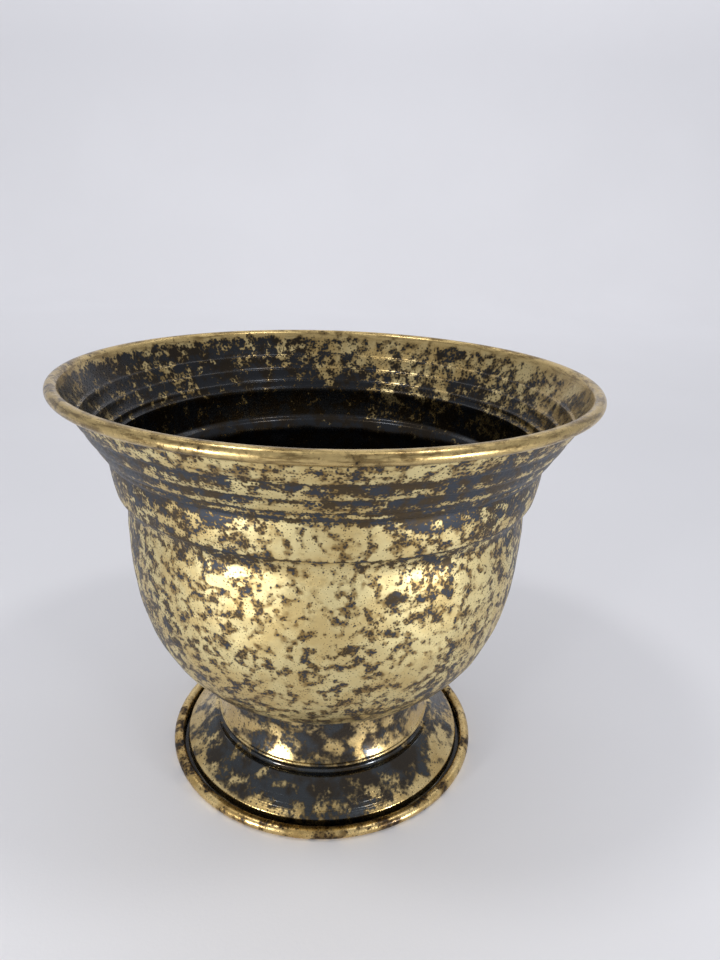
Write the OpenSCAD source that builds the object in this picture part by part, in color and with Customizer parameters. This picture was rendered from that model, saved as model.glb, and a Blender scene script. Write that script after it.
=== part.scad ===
// Footed brass planter pot: a spun and planished bowl with a stepped flare, bolted to a spun
// pedestal foot. Both free edges are rolled around a steel wire. Millimetres, +Z up.
// The origin is the centre of the circle that the foot stands on.

/* [Overall] */
// Outside diameter of the rolled rim
rim_d = 200; // [184:1:244]
// Widest diameter of the belly
belly_d = 155.4; // [128:0.2:170]
// Outside diameter of the rolled edge of the foot
foot_d = 132.4; // [128:0.2:170]
// Height of the face that the bowl is seated on, above the ground
seat_h = 37.5; // [36:0.5:60]

/* [Sheet and edges] */
// Thickness of the brass sheet
sheet = 0.8; // [0.6:0.1:1]
// Diameter of the wire inside each rolled edge
wire_d = 2.8; // [2:0.1:3.6]

/* [Bowl heights] */
// From the seat to the widest part of the belly
belly_h = 69; // [55:0.5:90]
// From the widest part of the belly to the lower edge of the shoulder band
shoulder_h = 17; // [14:0.5:25]
// Height of the shoulder band
band_h = 14; // [11:0.5:20]
// From the top of the shoulder band to the middle of the rolled rim
flare_h = 24.3; // [20:0.1:40]

/* [Bowl shape] */
// Diameter of the flat bottom
bottom_d = 56; // [46:1:68]
// Fullness of the belly towards its side
side_fullness = 2.58; // [2:0.02:3]
// Fullness of the belly towards its bottom
bottom_fullness = 2.28; // [2:0.02:3]
// How far the waist above the belly lies inside the widest part
waist_in = 0.5; // [0:0.1:2]
// Height of the waist below the shoulder band
waist_drop = 6; // [4:0.5:9]
// How far the lower edge of the shoulder band stands out from the belly
band_out = 2.5; // [1:0.1:4]
// Width of the step under the shoulder band
band_step = 1.9; // [0.8:0.1:2.4]
// How far the top of the shoulder band stands out from its lower edge
band_lean = 2; // [0:0.1:4]
// How far the face of the shoulder band bulges
band_bulge = 0.35; // [0:0.05:1]
// Depth of the steps between the rings of the flare
ring_step = 0.6; // [0.2:0.1:1.2]
// Height of the first ring of the flare
ring_1_h = 3.1; // [2:0.1:4]
// Height of the second ring of the flare
ring_2_h = 5.2; // [3:0.1:6]
// Height of the third ring of the flare
ring_3_h = 5.9; // [3:0.1:7]
// How far the face of each ring bulges
ring_bulge = 0.25; // [0:0.05:0.6]
// How far the rings stand out from a straight flare at its middle
flare_bulge = 0.5; // [0:0.1:2]
// Lean of the flare where it meets the rolled rim, in degrees from upright
rim_lean = 20; // [5:1:35]

/* [Foot shape] */
// Diameter of the neck where it meets the bowl
neck_top_d = 84; // [72:1:90]
// Diameter of the neck at its lip
lip_d = 92.6; // [88:0.2:104]
// Height of the lip at the bottom of the neck
lip_h = 16.9; // [14:0.1:22]
// Diameter of the half-round edge of the lip
lip_bead_d = 1.5; // [1:0.1:1.6]
// Diameter of the rounded shoulder below the lip
roll_d = 98; // [96:0.2:110]
// Height of the top of the rounded shoulder
roll_h = 13.8; // [12:0.1:14]
// Radius of the rounded shoulder
roll_r = 1.6; // [1.2:0.1:2.5]
// Height of the lower edge of the skirt
skirt_edge_h = 4.8; // [4:0.1:8]
// Sag of the sloping face of the skirt
skirt_sag = 0.4; // [0:0.1:1.2]
// Width of the groove between the skirt and the rolled edge
groove_w = 1.8; // [1:0.1:4]
// Radius of the bend at the edge of the skirt
skirt_bend_r = 1; // [0.5:0.1:2]

/* [Fixing] */
// Diameter of the centre bolt
bolt_d = 6; // [5:0.5:8]
// How much larger the holes for the bolt are than the bolt
bolt_clearance = 0.4; // [0.2:0.1:1]
// Diameter of the bolt's head
bolt_head_d = 12; // [10.4:0.2:16]
// Height of the bolt's head
bolt_head_h = 3.6; // [3:0.1:5]
// Width of the screwdriver slot
slot_w = 1.6; // [1.2:0.1:2]
// Depth of the screwdriver slot
slot_depth = 1.5; // [1:0.1:2]
// How far the bolt's end stands out of the nut
bolt_end = 2.4; // [1:0.1:6]
// Diameter of the rubber sealing washer
seal_d = 22; // [18:0.5:30]
// Thickness of the rubber sealing washer
seal_t = 1.5; // [1:0.1:3]
// Diameter of the flat washer on the seal
flat_washer_d = 20; // [17:0.5:28]
// Thickness of the flat washer on the seal
flat_washer_t = 1.2; // [0.8:0.1:2]
// Diameter of the wide washer inside the foot
foot_washer_d = 24; // [18:0.5:34]
// Thickness of the wide washer inside the foot
foot_washer_t = 1.5; // [1:0.1:2.5]
// Outside diameter of the spring washer
spring_washer_d = 11; // [10.4:0.1:15]
// Thickness of the spring washer
spring_washer_t = 1.6; // [1.2:0.1:2.2]
// Width of the gap in the spring washer
spring_gap = 1; // [0.6:0.1:1.5]
// Width of the nut across its flats
nut_flats = 10; // [9.4:0.2:14]
// Height of the nut
nut_h = 5; // [4:0.1:7]
// Size of the chamfer on the nut and on the bolt's end
chamfer = 0.6; // [0.3:0.1:0.8]

/* [Hidden] */
$fn = 96;
eps = 0.01;
overcut = 1;

// chords in the outlines' curves
belly_steps = 22;
roll_steps = 16;
arc_steps = 4;

// rolled edges
edge_r = wire_d / 2 + sheet;

// heights of the bowl
belly_z = seat_h + belly_h;
band_z = belly_z + shoulder_h;
flare_z = band_z + band_h;
rim_z = flare_z + flare_h;
waist_z = band_z - waist_drop;

// radii of the bowl
belly_r = belly_d / 2;
waist_r = belly_r - waist_in;
band_r = belly_r + band_out;
flare_r = band_r + band_lean;
rim_r = rim_d / 2 - edge_r;

// the wall touches the wire in the rim here, leaning by rim_lean
rim_touch = [rim_r, rim_z] + wire_d / 2 * [-cos(rim_lean), sin(rim_lean)];
rim_roll_start = 180 - rim_lean;
rim_roll_end = -138;

// ring_edges[i] is the lower edge of ring i, on the line from the band to the rim
ring_heights = [0, ring_1_h, ring_1_h + ring_2_h, ring_1_h + ring_2_h + ring_3_h];
flare_share = [for (h = ring_heights) h / (rim_touch[1] - flare_z)];
ring_edges = [for (i = [0:3])
    [flare_r + (rim_touch[0] - flare_r) * flare_share[i] + flare_bulge * sin(180 * flare_share[i])
         + ring_step,
     flare_z + ring_heights[i]]];

// gentle sags of the waist, the cove under the band and the wall under the rim
waist_sag = 0.15;
cove_sag = 0.35;
rim_sag = 0.3;
band_step_h = 1.2;

// foot
foot_edge = [foot_d / 2 - edge_r, edge_r];
skirt_r = foot_edge[0] - edge_r - groove_w;
// the foot's roll starts under the wire and ends short of the skirt
foot_roll_start = -90;
foot_roll_end = 165;
neck_bend_r = 3;
neck_sag = 0.9;
lip_centre = [(lip_d - lip_bead_d) / 2, lip_h];
roll_centre = [roll_d / 2 - roll_r, roll_h - roll_r];
bend_centre = [skirt_r - skirt_bend_r, skirt_edge_h - skirt_bend_r];
groove_bend_r = 1.2;
hem_bend_r = 0.5;
// slope of the skirt and how far its sag turns it at each end
skirt_run = norm(bend_centre - roll_centre);
skirt_slope = atan2(roll_centre[1] - bend_centre[1], bend_centre[0] - roll_centre[0])
    + asin((roll_r - skirt_bend_r) / skirt_run);
skirt_turn = 2 * atan(2 * skirt_sag / skirt_run);

// stack along the bolt, from the inside of the bowl down to the end of the bolt
hole_r = (bolt_d + bolt_clearance) / 2;
head_round_r = 1;
bowl_floor_z = seat_h + sheet;
flat_washer_z = bowl_floor_z + seal_t;
head_z = flat_washer_z + flat_washer_t;
foot_washer_z = seat_h - sheet - foot_washer_t;
spring_washer_z = foot_washer_z - spring_washer_t;
nut_z = spring_washer_z - nut_h;
bolt_end_z = nut_z - bolt_end;

// Unit step in the direction of an angle.
function along(angle) = [cos(angle), sin(angle)];

// Points of the arc from a to b that bulges by sag to the right of the way from a to b,
// both ends included.
function arc(a, b, sag, steps = arc_steps) =
    abs(sag) < eps
        ? [a, b]
        : let (chord = norm(b - a),
               radius = (chord * chord / 4 + sag * sag) / (2 * sag),
               ahead = (b - a) / chord,
               right = [ahead[1], -ahead[0]],
               centre = (a + b) / 2 + right * (sag - radius),
               half = asin(chord / 2 / radius))
          [for (i = [0:steps])
              let (turn = half * (2 * i / steps - 1))
              centre + right * radius * cos(turn) + ahead * radius * sin(turn)];

// Points of the arc about a centre, from one angle to another.
function sweep(centre, radius, from, to, steps = arc_steps) =
    [for (i = [0:steps])
        centre + radius * along(from + (to - from) * i / steps)];

// Points of the sheet's inner side where it is rolled around a wire. Its flats touch the wire,
// the first of them where the angle is from.
function wrap(centre, from, to) =
    let (step = (to - from) / roll_steps)
    sweep(centre, wire_d / 2 / cos(step / 2), from + step / 2, to + step / 2, roll_steps);

// Unit normal on the left of the way from a to b.
function left_normal(a, b) = [a[1] - b[1], b[0] - a[0]] / norm(b - a);

// The same line moved to its left by a distance, with mitred corners.
function moved_left(line, distance) =
    [for (i = [0:len(line) - 1])
        let (n1 = left_normal(line[max(i - 1, 0)], line[max(i, 1)]),
             n2 = left_normal(line[min(i, len(line) - 2)], line[min(i + 1, len(line) - 1)]))
        line[i] + distance * (n1 + n2) / (1 + n1 * n2)];

function reversed(line) = [for (i = [len(line) - 1:-1:0]) line[i]];

// Drops each point that repeats the one before it.
function tidy_line(line) =
    [for (i = [0:len(line) - 1]) if (i == 0 || norm(line[i] - line[max(i - 1, 0)]) > eps) line[i]];

// Outline of the belly from its flat bottom to its widest part.
function belly_line() =
    [for (i = [0:belly_steps])
        let (turn = 90 * i / belly_steps,
             out = pow(sin(turn), 2 / side_fullness),
             down = pow(cos(turn), 2 / bottom_fullness))
        [bottom_d / 2 + (belly_r - bottom_d / 2) * out, belly_z - belly_h * down]];

// Face of the ring between two lower edges; it starts at its own lower edge and ends under
// the next one.
function ring_face(i) = arc(ring_edges[i], ring_edges[i + 1] - [ring_step, 0], ring_bulge);

// Outside of the bowl's wall, from the bolt hole out and up to the rolled rim.
function bowl_line() = tidy_line(concat(
    [[hole_r, seat_h]],
    belly_line(),
    arc([belly_r, belly_z], [waist_r, waist_z], waist_sag),
    arc([waist_r, waist_z], [band_r - band_step, band_z - band_step_h], -cove_sag),
    arc([band_r, band_z], [flare_r, flare_z], band_bulge),
    ring_face(0),
    ring_face(1),
    ring_face(2),
    arc(ring_edges[3], rim_touch, rim_sag),
    wrap([rim_r, rim_z], rim_roll_start, rim_roll_end)));

// Upper side of the foot's sheet, from the bolt hole out and down to the rolled edge. The
// half-round edge of the lip stands out of it, and the sheet's lower side leaves it out.
function foot_line(with_lip) = tidy_line(concat(
    [[hole_r, seat_h]],
    sweep([neck_top_d / 2 - neck_bend_r, seat_h - neck_bend_r], neck_bend_r, 90, 0),
    arc([neck_top_d / 2, seat_h - neck_bend_r], lip_centre + [0, lip_bead_d / 2], neck_sag, 2 * arc_steps),
    with_lip ? sweep(lip_centre, lip_bead_d / 2, 90, -90, 2 * arc_steps) : [],
    sweep([lip_centre[0] + groove_bend_r, roll_h + groove_bend_r], groove_bend_r, 180, 270),
    sweep(roll_centre, roll_r, 90, 90 - skirt_slope - skirt_turn),
    arc(roll_centre + roll_r * along(90 - skirt_slope - skirt_turn),
        bend_centre + skirt_bend_r * along(90 - skirt_slope + skirt_turn), skirt_sag),
    sweep(bend_centre, skirt_bend_r, 90 - skirt_slope + skirt_turn, 0),
    sweep([skirt_r + hem_bend_r, sheet + hem_bend_r], hem_bend_r, 180, 270),
    wrap(foot_edge, foot_roll_start, foot_roll_end)));

module washer(outer_d, inner_d, thickness) {
    difference() {
        cylinder(d = outer_d, h = thickness);
        translate([0, 0, -overcut])
        cylinder(d = inner_d, h = thickness + 2 * overcut);
    }
}

// Spun bowl with its stepped flare and its rolled rim.
module bowl() {
    color([0.72, 0.62, 0.38])
    rotate_extrude()
    polygon(concat(bowl_line(), reversed(moved_left(bowl_line(), sheet))));
}

// Steel wire inside the rolled rim.
module rim_wire() {
    color([0.45, 0.46, 0.48])
    rotate_extrude()
    translate([rim_r, rim_z])
    circle(d = wire_d);
}

// Spun pedestal foot: top plate, neck with a lip, sloping skirt and rolled edge.
module foot() {
    color([0.42, 0.37, 0.26])
    rotate_extrude()
    polygon(concat(foot_line(true), reversed(moved_left(foot_line(false), -sheet))));
}

// Steel wire inside the rolled edge of the foot.
module foot_wire() {
    color([0.45, 0.46, 0.48])
    rotate_extrude()
    translate(foot_edge)
    circle(d = wire_d);
}

// Slotted cheese-head bolt through the bottom of the bowl and the top of the foot.
module centre_bolt() {
    color([0.78, 0.66, 0.36])
    difference() {
        rotate_extrude()
        polygon(concat(
            [[0, bolt_end_z],
             [bolt_d / 2 - chamfer, bolt_end_z],
             [bolt_d / 2, bolt_end_z + chamfer],
             [bolt_d / 2, head_z],
             [bolt_head_d / 2, head_z]],
            sweep([bolt_head_d / 2 - head_round_r, head_z + bolt_head_h - head_round_r],
                  head_round_r, 0, 90),
            [[0, head_z + bolt_head_h]]));
        translate([-bolt_head_d, -slot_w / 2, head_z + bolt_head_h - slot_depth])
        cube([bolt_head_d * 2, slot_w, slot_depth + overcut]);
    }
}

// Rubber washer that seals the bolt hole inside the bowl.
module sealing_washer() {
    color([0.12, 0.12, 0.12])
    translate([0, 0, bowl_floor_z])
    washer(seal_d, 2 * hole_r, seal_t);
}

// Flat washer between the seal and the bolt's head.
module flat_washer() {
    color([0.76, 0.64, 0.34])
    translate([0, 0, flat_washer_z])
    washer(flat_washer_d, 2 * hole_r, flat_washer_t);
}

// Wide washer under the top plate of the foot.
module foot_washer() {
    color([0.66, 0.67, 0.68])
    translate([0, 0, foot_washer_z])
    washer(foot_washer_d, 2 * hole_r, foot_washer_t);
}

// Split ring that keeps the nut tight.
module spring_washer() {
    color([0.5, 0.51, 0.53])
    translate([0, 0, spring_washer_z])
    difference() {
        washer(spring_washer_d, 2 * hole_r, spring_washer_t);
        translate([0, -spring_gap / 2, -overcut])
        cube([spring_washer_d, spring_gap, spring_washer_t + 2 * overcut]);
    }
}

// Hexagon nut with chamfered corners.
module nut() {
    corner_r = nut_flats / 2 / cos(30);
    color([0.7, 0.71, 0.72])
    translate([0, 0, nut_z])
    difference() {
        intersection() {
            cylinder(r = corner_r, h = nut_h, $fn = 6);
            rotate_extrude()
            polygon([[0, 0],
                     [corner_r - chamfer, 0],
                     [corner_r, chamfer / 2],
                     [corner_r, nut_h - chamfer / 2],
                     [corner_r - chamfer, nut_h],
                     [0, nut_h]]);
        }
        translate([0, 0, -overcut])
        cylinder(d = bolt_d, h = nut_h + 2 * overcut);
    }
}

bowl();
rim_wire();
foot();
foot_wire();
centre_bolt();
sealing_washer();
flat_washer();
foot_washer();
spring_washer();
nut();
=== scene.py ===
"""Look of the footed brass planter pot: a spun bowl and a spun foot under a mottled patina,
the bolt that holds them together, and the studio that they stand in.

Sizes and heights are in millimetres unless a line says metres, and the meshes are in metres.
The pot's axis is +Z and it stands on z = 0.
"""

import logging
import math
from dataclasses import dataclass, field
from enum import Enum

import bmesh
import bpy
from mathutils import Matrix, Vector


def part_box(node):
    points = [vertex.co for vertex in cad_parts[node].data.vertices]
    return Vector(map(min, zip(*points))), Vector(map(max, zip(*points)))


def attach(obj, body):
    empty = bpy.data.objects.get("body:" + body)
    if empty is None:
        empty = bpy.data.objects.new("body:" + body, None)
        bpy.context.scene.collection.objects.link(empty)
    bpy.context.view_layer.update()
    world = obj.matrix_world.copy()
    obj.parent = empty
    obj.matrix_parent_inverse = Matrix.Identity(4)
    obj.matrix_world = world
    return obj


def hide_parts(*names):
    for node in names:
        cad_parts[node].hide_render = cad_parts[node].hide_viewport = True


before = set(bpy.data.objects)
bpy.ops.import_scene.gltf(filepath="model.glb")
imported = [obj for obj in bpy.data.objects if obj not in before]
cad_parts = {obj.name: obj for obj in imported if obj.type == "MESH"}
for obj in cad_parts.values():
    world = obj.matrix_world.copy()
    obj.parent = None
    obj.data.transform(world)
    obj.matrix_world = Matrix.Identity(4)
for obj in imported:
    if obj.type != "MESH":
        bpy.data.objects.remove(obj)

log = logging.getLogger("planter")

MM = 0.001
BODY = "root"
HALF_TURN = 180.0

Line = list[Vector]
Colour = tuple[float, float, float, float]
Band = tuple[float, float]
Stops = tuple[tuple[float, float], ...]
Socket = bpy.types.NodeSocket
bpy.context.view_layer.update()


class Slot(Enum):
    """The record's material slots of the pieces that are made here."""

    BOWL = "bowl_brass"
    FOOT = "foot_brass"
    BOLT = "bolt_brass"


class Side(Enum):
    """The side of the sheet that a point of an outline lies on."""

    SHOWN = 0.0
    HOLLOW = 1.0


def paint(red: float, green: float, blue: float) -> Colour:
    """Linear colour of a display colour.

    Args:
        red: Red from 0 to 255.
        green: Green from 0 to 255.
        blue: Blue from 0 to 255.

    Returns:
        The linear colour, with full alpha.
    """
    linear = [
        c / 255 / 12.92 if c <= 10 else ((c / 255 + 0.055) / 1.055) ** 2.4
        for c in (red, green, blue)
    ]
    return (*linear, 1.0)


# Outlines: lists of (radius, height) points


def along(degrees: float) -> Vector:
    """Unit step in the direction of an angle."""
    return Vector((math.cos(math.radians(degrees)), math.sin(math.radians(degrees))))


def arc(a: Vector, b: Vector, sag: float, steps: int) -> Line:
    """Arc between two points.

    Args:
        a: First point.
        b: Last point.
        sag: How far it bulges to the right of the way from a to b.
        steps: How many chords it has.

    Returns:
        Its points, both ends included.
    """
    chord = (b - a).length
    ahead = (b - a) / chord
    right = Vector((ahead.y, -ahead.x))
    radius = (chord * chord / 4 + sag * sag) / (2 * sag)
    centre = (a + b) / 2 + right * (sag - radius)
    half = math.asin(chord / 2 / radius)
    turns = [half * (2 * i / steps - 1) for i in range(steps + 1)]
    return [centre + right * radius * math.cos(t) + ahead * radius * math.sin(t) for t in turns]


def sweep(centre: Vector, radius: float, start: float, end: float, steps: int) -> Line:
    """Arc about a centre.

    Args:
        centre: Centre of the arc.
        radius: Its radius.
        start: First angle, in degrees.
        end: Last angle, in degrees.
        steps: How many chords it has.

    Returns:
        Its points, both ends included.
    """
    return [
        centre + radius * along(start + (end - start) * i / steps) for i in range(steps + 1)
    ]


def normals(line: Line) -> Line:
    """Mitred normals on the left of a line.

    Args:
        line: The points.

    Returns:
        One normal for each point.
    """
    ahead = [(b - a).normalized() for a, b in zip(line, line[1:])]
    left = [Vector((-d.y, d.x)) for d in ahead]
    pairs = zip([left[0], *left], [*left, left[-1]])
    return [(n + m) / (1 + n.dot(m)) for n, m in pairs]


def moved_left(line: Line, distance: float) -> Line:
    """The same line moved to its left by a distance, with mitred corners."""
    return [p + distance * n for p, n in zip(line, normals(line))]


def softened(line: Line, radius: float, least_turn: float = 25.0) -> Line:
    """Rounds the sharp corners of a line.

    Args:
        line: The points.
        radius: How far from a corner its rounding starts, where its sides are long enough.
        least_turn: The turn in degrees from which a corner counts as sharp.

    Returns:
        The points of the rounded line.
    """
    rounded = [line[0]]
    for before, corner, after in zip(line, line[1:], line[2:]):
        back, on = before - corner, after - corner
        if HALF_TURN - math.degrees(back.angle(on)) < least_turn:
            rounded.append(corner)
            continue
        reach = min(radius, 0.45 * back.length, 0.45 * on.length)
        a, b = corner + back.normalized() * reach, corner + on.normalized() * reach
        rounded += [a, (a + 2 * corner + b) / 4, b]
    return rounded + [line[-1]]


def refined(line: Line, spacing: float) -> Line:
    """Adds points to a line.

    Args:
        line: The points.
        spacing: How far apart two points are at most.

    Returns:
        The finer line.
    """
    fine = [line[0]]
    for a, b in zip(line, line[1:]):
        parts = max(1, math.ceil((b - a).length / spacing))
        fine += [a.lerp(b, i / parts) for i in range(1, parts + 1)]
    return fine


def tidied(line: Line) -> Line:
    """A line without the points that repeat the one before them."""
    return [p for i, p in enumerate(line) if i == 0 or (p - line[i - 1]).length > 0.002]


def grooved(line: Line, pitch: float, depth: float, seed: int) -> Line:
    """Cuts the uneven rings that a spinning tool leaves into a smooth line.

    Args:
        line: The points.
        pitch: Mean distance between two rings.
        depth: Depth of the deepest ring.
        seed: Which of the fixed rows of depths is used.

    Returns:
        The line with its rings, four chords to each.
    """
    fine = refined(line, pitch / 4)
    out = normals(fine)
    run = 0.0
    cut = [fine[0]]
    for i in range(1, len(fine)):
        run += (fine[i] - fine[i - 1]).length
        ring = run / pitch
        uneven = 0.55 + 0.45 * math.sin(2.4 * math.floor(ring) + seed)
        ends = min(1.0, i / 6, (len(fine) - 1 - i) / 6)
        cut.append(fine[i] - out[i] * depth * uneven * ends * math.sin(math.pi * ring) ** 2)
    return cut


# Node trees


class Graph:
    """A node tree that is being wired."""

    def __init__(self, tree: bpy.types.NodeTree) -> None:
        """Takes the tree and empties it."""
        self.tree = tree
        tree.nodes.clear()

    def add(self, kind: str, inputs: dict | None = None, **settings: object) -> bpy.types.Node:
        """Adds a node.

        Args:
            kind: The node's type.
            inputs: Sockets to link or values to set, by the name or number of the input.
            settings: Properties of the node.

        Returns:
            The node.
        """
        node = self.tree.nodes.new(kind)
        for name, value in settings.items():
            setattr(node, name, value)
        for key, value in (inputs or {}).items():
            if isinstance(value, Socket):
                self.tree.links.new(value, node.inputs[key])
            else:
                node.inputs[key].default_value = value
        return node

    def number(self, operation: str, *values: Socket | float) -> Socket:
        """Result of a sum on numbers."""
        return self.add("ShaderNodeMath", dict(enumerate(values)), operation=operation).outputs[0]

    def vector(self, operation: str, *values: Socket | tuple) -> Socket:
        """Result of a sum on vectors."""
        inputs = dict(enumerate(values))
        return self.add("ShaderNodeVectorMath", inputs, operation=operation).outputs[0]

    def scaled(self, vector: Socket, by: Socket | float) -> Socket:
        """A vector times a number."""
        inputs = {0: vector, "Scale": by}
        return self.add("ShaderNodeVectorMath", inputs, operation="SCALE").outputs[0]

    def ease(self, value: Socket, low: float, high: float, top: float = 1.0) -> Socket:
        """Smooth step.

        Args:
            value: The value that is looked at.
            low: Where the step starts.
            high: Where it ends; less than low for a falling step.
            top: Height of the step.

        Returns:
            A value from 0 to top.
        """
        rising = low < high
        inputs = {
            "Value": value,
            "From Min": min(low, high),
            "From Max": max(low, high),
            "To Min": 0.0 if rising else top,
            "To Max": top if rising else 0.0,
        }
        kind = "ShaderNodeMapRange"
        return self.add(kind, inputs, interpolation_type="SMOOTHSTEP").outputs[0]


class FinishGraph(Graph):
    """The node tree of a finish. Places in it are in millimetres."""

    def __init__(self, name: str) -> None:
        """Makes the material and its output.

        Args:
            name: Name of the material.
        """
        self.material = bpy.data.materials.new(name)
        self.material.use_nodes = True
        super().__init__(self.material.node_tree)
        self.output = self.add("ShaderNodeOutputMaterial")
        self.coordinates = self.add("ShaderNodeTexCoord").outputs["Object"]

    def place(self, squeeze: tuple[float, float, float] = (1, 1, 1)) -> Socket:
        """Place on the piece in millimetres, squeezed along each axis."""
        scale = tuple(s / MM for s in squeeze)
        return self.add("ShaderNodeMapping", {"Vector": self.coordinates, "Scale": scale}).outputs[0]

    def part(self, place: Socket, axis: str) -> Socket:
        """Part of a place along an axis, in millimetres."""
        return self.add("ShaderNodeSeparateXYZ", {0: place}).outputs[axis]

    def radius(self, place: Socket) -> Socket:
        """Distance of a place from the pot's axis, in millimetres."""
        flat = self.vector("MULTIPLY", place, (1.0, 1.0, 0.0))
        return self.add("ShaderNodeVectorMath", {0: flat}, operation="LENGTH").outputs["Value"]

    def noise(
        self, place: Socket, size: float, detail: float = 4.0, rough: float = 0.6, turn: float = 0.0
    ) -> Socket:
        """Cloudy noise.

        Args:
            place: Where it is read, in millimetres.
            size: Size of its clouds.
            detail: How many finer layers it has.
            rough: How strong they are.
            turn: Which of the fixed patterns is used.

        Returns:
            A value near one half.
        """
        inputs = {"Vector": place, "W": turn, "Scale": 1 / size, "Detail": detail, "Roughness": rough}
        return self.add("ShaderNodeTexNoise", inputs, noise_dimensions="4D").outputs[0]

    def warped(self, place: Socket, size: float, reach: float) -> Socket:
        """A place pushed about by noise.

        Args:
            place: The place, in millimetres.
            size: Size of the noise's clouds.
            reach: How far a place is pushed at most.

        Returns:
            The new place.
        """
        inputs = {"Vector": place, "Scale": 1 / size, "Detail": 3.0}
        push = self.add("ShaderNodeTexNoise", inputs).outputs["Color"]
        centred = self.vector("SUBTRACT", push, (0.5, 0.5, 0.5))
        return self.vector("ADD", place, self.scaled(centred, 2 * reach))

    def by_height(self, stops: Stops) -> Socket:
        """A number that follows the height.

        Args:
            stops: Pairs of a height and the number there, from low to high.

        Returns:
            The number at the place's height.
        """
        low, high = stops[0][0], stops[-1][0]
        inputs = {"Value": self.part(self.place(), "Z"), "From Min": low, "From Max": high}
        share = self.add("ShaderNodeMapRange", inputs).outputs[0]
        ramp = self.add("ShaderNodeValToRGB", {0: share})
        while len(ramp.color_ramp.elements) < len(stops):
            ramp.color_ramp.elements.new(1.0)
        for element, (height, number) in zip(ramp.color_ramp.elements, stops):
            element.position = (height - low) / (high - low)
            element.color = (number, number, number, 1)
        return ramp.outputs[0]

    def blend(self, share: Socket, a: Socket | Colour, b: Socket | Colour) -> Socket:
        """Colour between a and b, by a share from 0 to 1."""
        inputs = {0: share, 6: a, 7: b}
        return self.add("ShaderNodeMix", inputs, data_type="RGBA").outputs[2]

    def between(self, share: Socket, a: Socket | float, b: Socket | float) -> Socket:
        """Number between a and b, by a share from 0 to 1."""
        inputs = {0: share, 2: a, 3: b}
        return self.add("ShaderNodeMix", inputs, data_type="FLOAT").outputs[0]

    def relief(self, height: Socket, depth: float, under: Socket | None = None) -> Socket:
        """Bumps.

        Args:
            height: Pattern of the bumps, from 0 to 1.
            depth: Height of the bumps, in millimetres.
            under: Bumps that these are laid over.

        Returns:
            The bumped normal.
        """
        inputs = {"Height": height, "Distance": depth * MM}
        if under is not None:
            inputs["Normal"] = under
        return self.add("ShaderNodeBump", inputs).outputs[0]

    def surface(self, **inputs: object) -> bpy.types.Material:
        """Ends the tree in a shader with these inputs, underscores for spaces in their names."""
        named = {key.replace("_", " "): value for key, value in inputs.items()}
        shader = self.add("ShaderNodeBsdfPrincipled", named)
        self.tree.links.new(shader.outputs[0], self.output.inputs[0])
        return self.material


# Finishes


@dataclass(frozen=True)
class Crease:
    """A ring-shaped hollow whose shade is painted as a near-black line."""

    inner: float
    outer: float
    low: float
    high: float
    soft: float = 0.5

    def mask(self, graph: FinishGraph) -> Socket:
        """Mask of the painted shade.

        Args:
            graph: The node tree of the finish.

        Returns:
            A number from 0 to 1.
        """
        place = graph.warped(graph.place(), 4.0, 0.5)
        mask = 1.0
        for value, low, high in (
            (graph.radius(place), self.inner, self.outer),
            (graph.part(place, "Z"), self.low, self.high),
        ):
            mask = graph.number("MULTIPLY", mask, graph.ease(value, low - self.soft, low + self.soft))
            mask = graph.number("MULTIPLY", mask, graph.ease(value, high + self.soft, high - self.soft))
        return mask


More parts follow.
